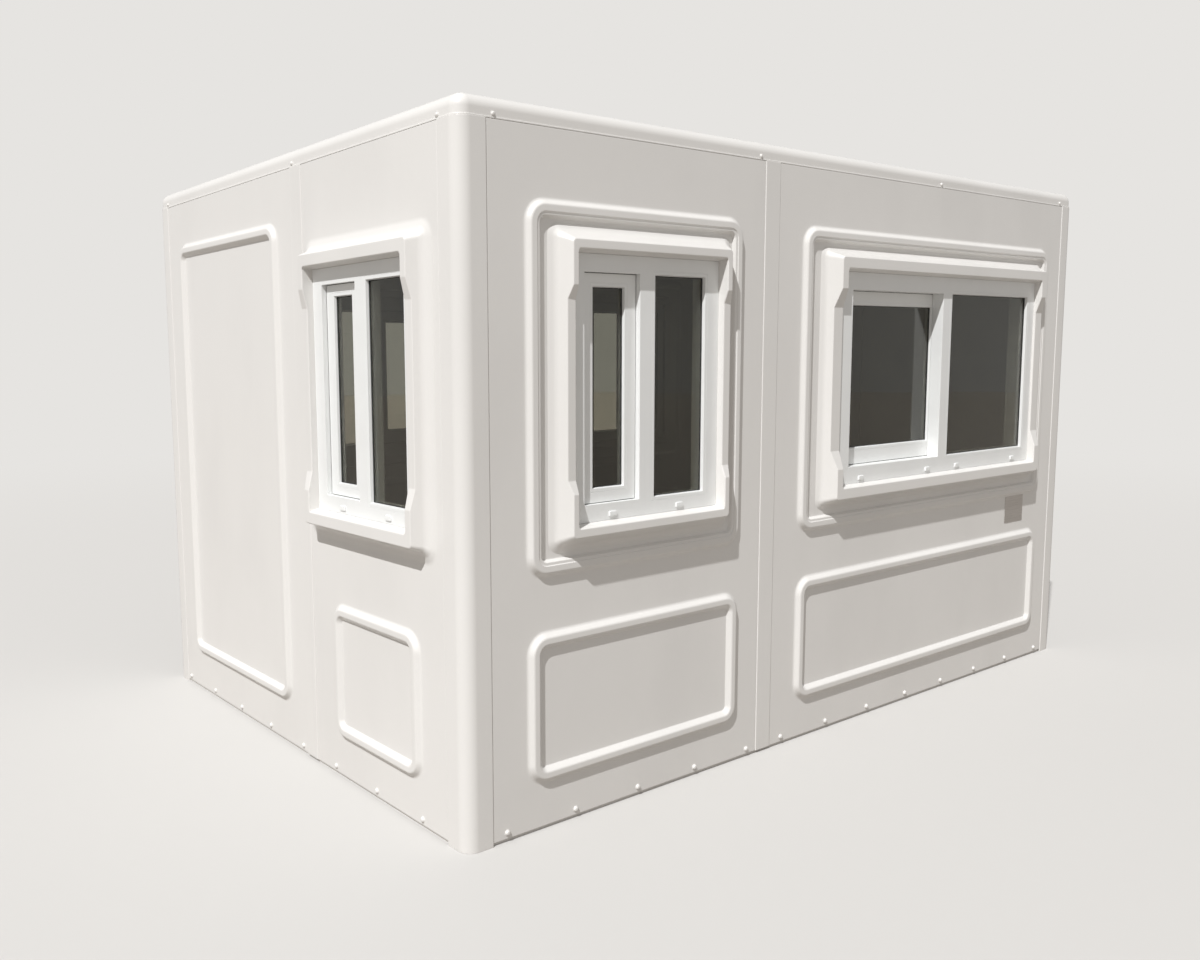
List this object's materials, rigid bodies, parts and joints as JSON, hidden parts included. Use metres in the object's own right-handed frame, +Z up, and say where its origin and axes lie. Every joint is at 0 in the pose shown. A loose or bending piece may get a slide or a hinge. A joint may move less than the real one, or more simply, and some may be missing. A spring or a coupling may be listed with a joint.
{
  "type": "modular office",
  "caption": "White glass-fibre modular office cabin with rounded corner posts, moulded panels, hooded sliding windows and a flat one-piece roof, for site or gate use.",
  "frame": {"origin": "centre of the footprint, on the ground", "axes": "+X along the long front wall, the front wall faces -Y, +Z up"},
  "size_m": [4.022, 2.622, 2.4],
  "materials": {
    "gelcoat": "satin white polyester gelcoat on moulded glass fibre",
    "white_pvc": "smooth white extruded PVC",
    "tinted_glass": "sealed glass unit, slightly green",
    "floor_board": "dark board",
    "handle_steel": "brushed",
    "fixing_caps": "white domed caps",
    "plate_metal": "bare plate"
  },
  "bodies": {
    "root": {"base_frame": "gelcoat", "floor_deck": "floor_board", "roof_shell": "gelcoat", "front_left_post": "gelcoat", "front_right_post": "gelcoat", "back_left_post": "gelcoat", "back_right_post": "gelcoat", "front_joint_post": "gelcoat", "back_joint_post": "gelcoat", "left_joint_post": "gelcoat", "right_joint_post": "gelcoat", "front_narrow_panel": "gelcoat", "front_wide_panel": "gelcoat", "left_window_panel": "gelcoat", "left_blank_panel": "gelcoat", "back_narrow_panel": "gelcoat", "back_wide_panel": "gelcoat", "right_window_panel": "gelcoat", "right_door_panel": "gelcoat", "front_narrow_frame": "white_pvc", "front_wide_frame": "white_pvc", "left_frame": "white_pvc", "back_narrow_frame": "white_pvc", "back_wide_frame": "white_pvc", "right_frame": "white_pvc", "front_narrow_sash": "white_pvc", "front_wide_sash": "white_pvc", "left_sash": "white_pvc", "back_narrow_sash": "white_pvc", "back_wide_sash": "white_pvc", "right_sash": "white_pvc", "front_narrow_glass": "tinted_glass", "front_wide_glass": "tinted_glass", "left_glass": "tinted_glass", "back_narrow_glass": "tinted_glass", "back_wide_glass": "tinted_glass", "right_glass": "tinted_glass", "door_leaf": "gelcoat", "door_handle": "handle_steel", "drain_caps": "white_pvc", "base_bolts": "fixing_caps", "roof_screws": "fixing_caps", "blank_plate": "plate_metal"}
  },
  "joints": []
}
